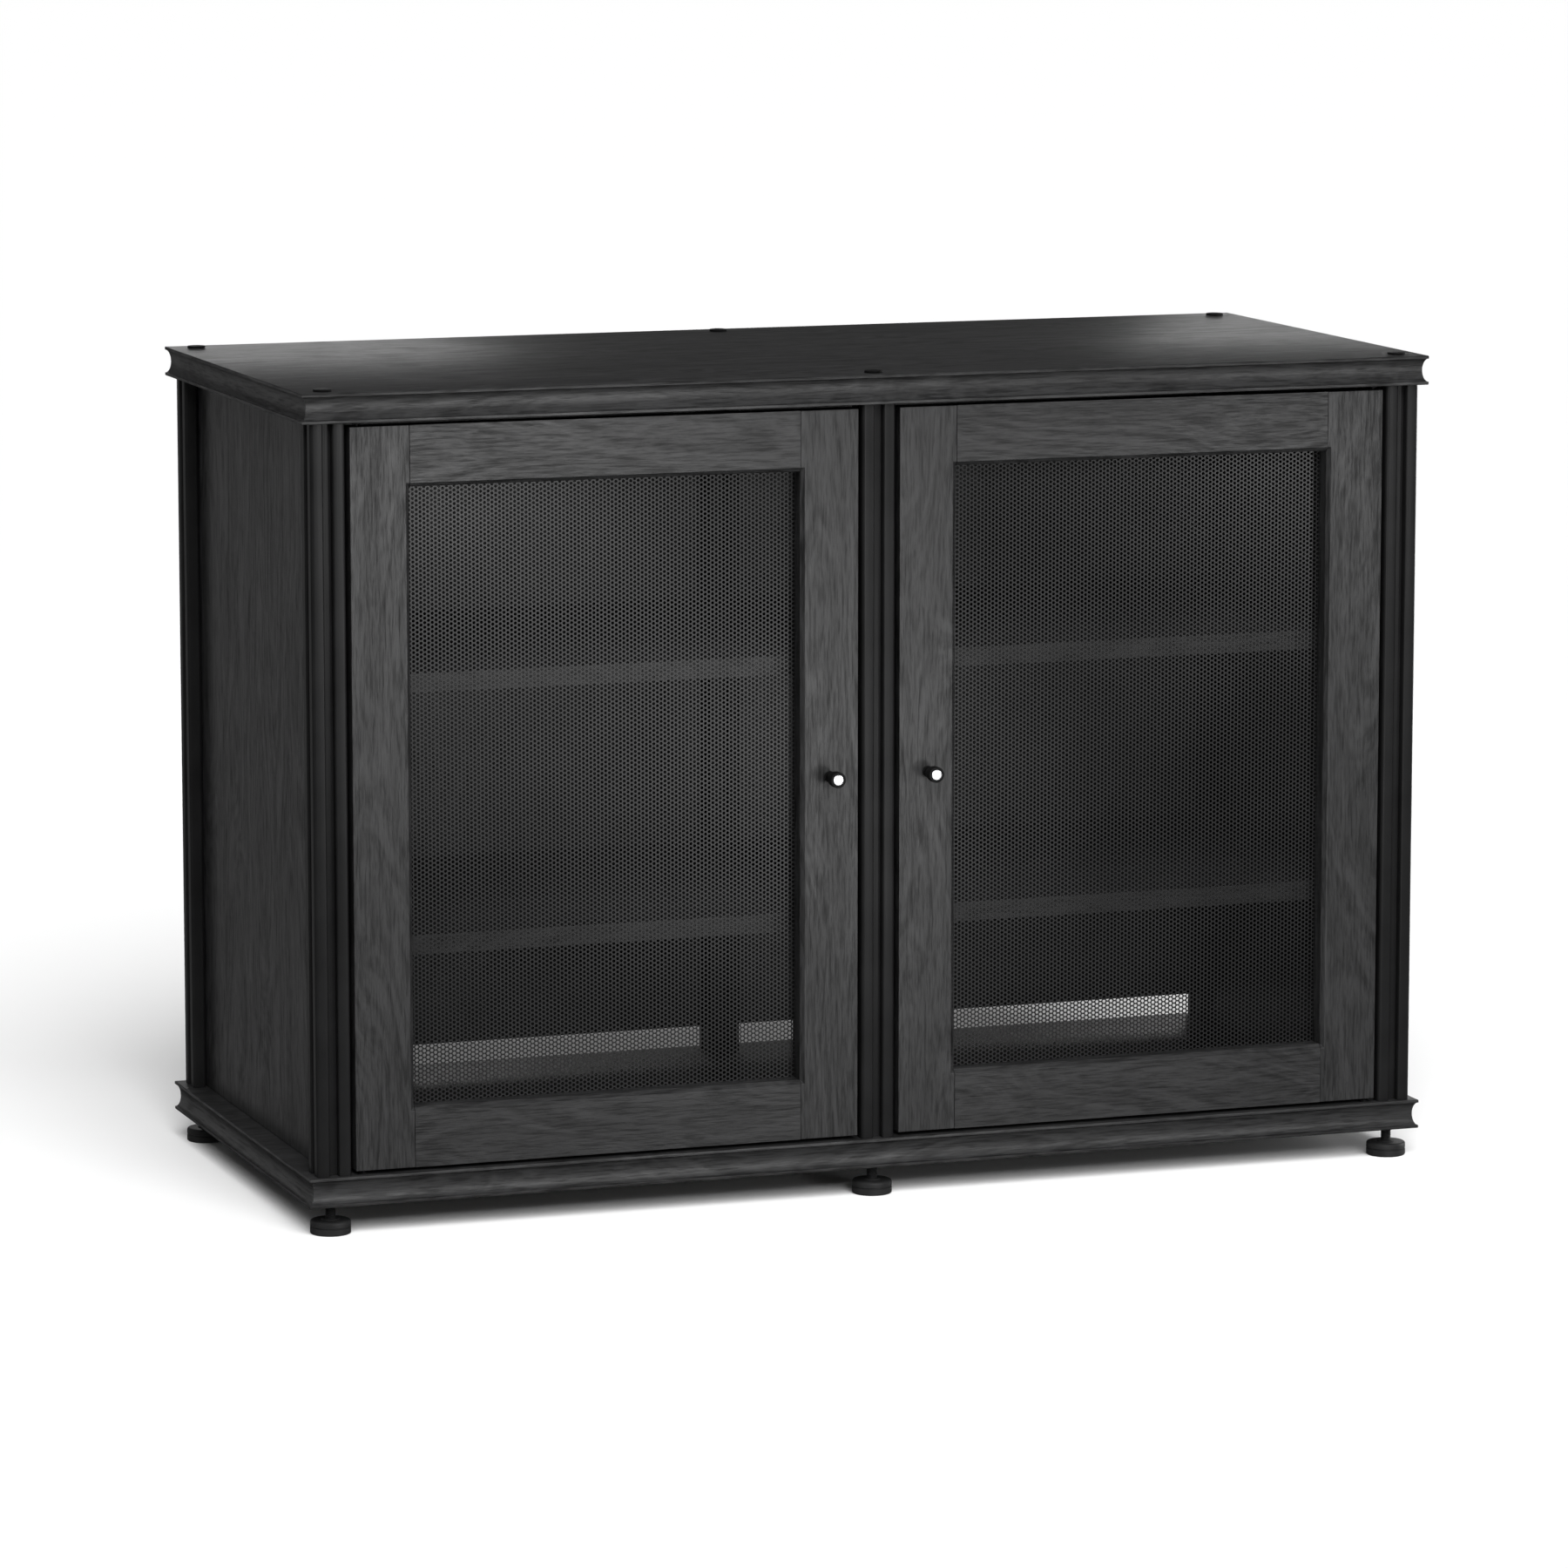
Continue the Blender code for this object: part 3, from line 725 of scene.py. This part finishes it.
def make_sheet(side):
    """The door's perforated sheet: columns of holes, every other one half a pitch higher.

    It is one surface at the middle of the sheet's thickness.
    """
    door = side + "_door"
    node = door + "_perforated_sheet"
    low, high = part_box(node)
    left, bottom, right, top = opening_of(door)
    center = Vector(((left + right) / 2, (low.y + high.y) / 2, (bottom + top) / 2))
    step_x, step_z = HOLE_PITCH * math.sqrt(3) / 2, HOLE_PITCH
    columns = int((right - left) / step_x) + 3
    rows = int((top - bottom) / step_z) + 3
    points = hole_points(columns, rows, center, step_x, step_z)
    mesh = bpy.data.meshes.new(node + "_holes")
    mesh.from_pydata(points.tolist(), [], hole_webs(columns, rows))
    bm = bmesh.new()
    bm.from_mesh(mesh)
    bpy.data.meshes.remove(mesh)
    loose = [vert for vert in bm.verts if not vert.link_faces]
    bmesh.ops.delete(bm, geom=loose, context="VERTS")
    finished(node + "_punched", bm, [SHEET_COAT], door, [node])


def knob_profile(rim, disc, front, back):
    """Foot, neck, a flare that eases out to the rim, and the tip's recess in the end."""
    length = back - front
    foot = NECK_RADIUS * 1.18
    profile = [(0.0, back), (foot, back), (foot, back - KNOB_FOOT)]
    profile += [(NECK_RADIUS, back - KNOB_FOOT - 0.0006)]
    for step in range(13):
        part = step / 12
        ease = part * part * (3 - 2 * part)
        radius = NECK_RADIUS + (rim - NECK_RADIUS) * ease
        profile.append((radius, back - length * (0.16 + 0.54 * part)))
    profile += arc((rim - KNOB_EDGE, front + KNOB_EDGE), KNOB_EDGE, 0, -90, 5)
    wall, floor = disc + TIP_ROOM, front + TIP_RECESS
    bevel = 0.0004
    return profile + [(wall + bevel, front), (wall, front + bevel), (wall, floor), (0.0, floor)]


def tip_profile(disc, front, back):
    """A disc with a slightly crowned face."""
    face = front - TIP_PROUD
    profile = [(0.0, back), (disc, back), (disc, face + TIP_CROWN * 2)]
    profile += [(disc * (1 - 0.04 * k), face + TIP_CROWN * (1 - k / 5) ** 2) for k in range(1, 5)]
    return profile + [(disc * 0.5, face), (0.0, face)]


def make_knob(side):
    door = side + "_door"
    node, tip = door + "_knob", door + "_knob_tip"
    low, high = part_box(node)
    tip_low, tip_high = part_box(tip)
    axis = (low + high) / 2
    axis.y = 0.0
    disc = (tip_high.x - tip_low.x) / 2
    bm = bmesh.new()
    turned(bm, knob_profile((high.x - low.x) / 2, disc, low.y, high.y), axis, "Y")
    finished(node + "_turned", bm, [BLACK_METAL], door, [node], 34.0)
    bm = bmesh.new()
    turned(bm, tip_profile(disc, low.y, tip_high.y), axis, "Y")
    finished(tip + "_turned", bm, [BRIGHT], door, [tip], 34.0, axis)


def make_door_hardware(side):
    door = side + "_door"
    for name in ("_top_pivot", "_bottom_pivot", "_sheet_retainer"):
        dress(door + name, BLACK_METAL)
    dress(door + "_strike", STEEL)
    node = door + "_catch"
    low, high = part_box(node)
    case = block(low, high)
    catch = finished(node + "_moulded", case, [PLASTIC], "cabinet", [node])
    soften(catch, 0.0012, 3)


def make_doors():
    for side in SIDES:
        make_door_frame(side)
        make_sheet(side)
        make_knob(side)
        make_door_hardware(side)


# ---------------------------------------------------------------- stage


FLOOR_SIZE = 160.0
TARGET = Vector((-0.0088, 0.0104, 0.3607))
AZIMUTH = math.radians(-19.44)
ELEVATION = math.radians(8.9)
DISTANCE = 6.89
LENS = 162.3
DOME_DIM = 0.05
DOME_BRIGHT = 0.17
SUN_PLACE = (-0.18, -1.0, 0.95)
SUN_STRENGTH = 4.6


def direction(azimuth, elevation):
    """From the cabinet towards a viewer. Azimuth 0 is straight in front."""
    level = math.cos(elevation)
    return Vector((math.sin(azimuth) * level, -math.cos(azimuth) * level, math.sin(elevation)))


def make_camera():
    data = bpy.data.cameras.new("camera")
    data.lens = LENS
    data.sensor_width = 36.0
    data.clip_end = 500.0
    camera = bpy.data.objects.new("camera", data)
    toward = direction(AZIMUTH, ELEVATION)
    camera.location = TARGET + toward * DISTANCE
    camera.rotation_euler = toward.to_track_quat("Z", "Y").to_euler()
    bpy.context.scene.collection.objects.link(camera)
    bpy.context.scene.camera = camera


def make_floor():
    """A matt white floor. Gloss doesn't see it: there the studio's own dome goes on below it."""
    tree = Tree("pale_floor")
    tree.surface(Base_Color=(0.92, 0.92, 0.92, 1.0), Roughness=0.9, Specular_IOR_Level=0.1)
    bm = bmesh.new()
    bmesh.ops.create_grid(bm, x_segments=1, y_segments=1, size=FLOOR_SIZE / 2)
    mesh = bpy.data.meshes.new("floor")
    bm.to_mesh(mesh)
    bm.free()
    mesh.materials.append(tree.material)
    floor = bpy.data.objects.new("floor", mesh)
    bpy.context.scene.collection.objects.link(floor)
    floor.visible_glossy = False


def add_lamp(name, kind, place, aim, power):
    """A lamp at place that shines at aim and isn't seen itself: its data and its object."""
    data = bpy.data.lights.new(name, kind)
    data.energy = power
    lamp = bpy.data.objects.new(name, data)
    lamp.location = place
    lamp.rotation_euler = (Vector(place) - Vector(aim)).to_track_quat("Z", "Y").to_euler()
    lamp.visible_camera = False
    bpy.context.scene.collection.objects.link(lamp)
    return data, lamp


def soft_box(name, place, aim, width, height, power):
    """A rectangular lamp of the given size, in metres, and power, in watts."""
    data, _ = add_lamp(name, "AREA", place, aim, power)
    data.shape = "RECTANGLE"
    data.size = width
    data.size_y = height


def make_dome():
    """A dim studio dome, somewhat brighter overhead. The camera itself sees it plain white."""
    world = bpy.data.worlds.new("studio")
    world.use_nodes = True
    nodes, links = world.node_tree.nodes, world.node_tree.links
    coords = nodes.new("ShaderNodeTexCoord")
    split = nodes.new("ShaderNodeSeparateXYZ")
    links.new(coords.outputs["Generated"], split.inputs["Vector"])
    level = nodes.new("ShaderNodeMapRange")
    level.interpolation_type = "SMOOTHSTEP"
    links.new(split.outputs["Z"], level.inputs["Value"])
    level.inputs["From Min"].default_value = 0.1
    level.inputs["From Max"].default_value = 1.0
    level.inputs["To Min"].default_value = DOME_DIM
    level.inputs["To Max"].default_value = DOME_BRIGHT
    path = nodes.new("ShaderNodeLightPath")
    seen = nodes.new("ShaderNodeMath")
    seen.operation = "MAXIMUM"
    links.new(level.outputs["Result"], seen.inputs[0])
    links.new(path.outputs["Is Camera Ray"], seen.inputs[1])
    links.new(seen.outputs["Value"], nodes["Background"].inputs["Strength"])
    nodes["Background"].inputs["Color"].default_value = (1.0, 1.0, 1.0, 1.0)
    bpy.context.scene.world = world


def make_sun():
    """A broad soft key light from in front and above. The gloss comes from the soft boxes."""
    data, lamp = add_lamp("sun", "SUN", SUN_PLACE, (0.0, 0.0, 0.0), SUN_STRENGTH)
    data.angle = math.radians(46)
    lamp.visible_glossy = False


def make_soft_boxes():
    """Sheen for the doors from in front, for the top board from behind, and for the sides."""
    soft_box("front_left", (-0.06, -1.5, 0.58), (-0.45, -0.2, 0.70), 0.30, 0.14, 2.6)
    soft_box("front_middle", (0.40, -1.5, 0.21), (-0.07, -0.2, 0.42), 0.12, 0.20, 1.5)
    soft_box("front_low", (0.18, -1.5, 0.27), (-0.3, -0.2, 0.45), 0.30, 0.40, 0.95)
    soft_box("front_right", (0.98, -1.5, 0.55), (0.5, -0.2, 0.70), 0.12, 0.20, 2.0)
    soft_box("rear_right", (1.9, 2.6, 0.9), (0.5, 0.0, 0.78), 0.8, 0.5, 3.9)
    soft_box("rear_left", (0.3, 3.4, 1.1), (-0.4, 0.0, 0.78), 0.7, 0.5, 2.7)
    soft_box("rear_side", (-1.5, 2.0, 0.15), (-0.56, 0.0, 0.3), 0.9, 1.3, 1.0)
    soft_box("side", (2.4, 0.1, 0.4), (0.3, -0.2, 0.4), 0.4, 1.2, 16.0)


make_boards()
make_posts()
make_bolts()
make_feet()
make_panels()
make_shelves()
make_doors()
make_floor()
make_dome()
make_sun()
make_soft_boxes()
make_camera()
bpy.context.scene.view_settings.view_transform = "Standard"
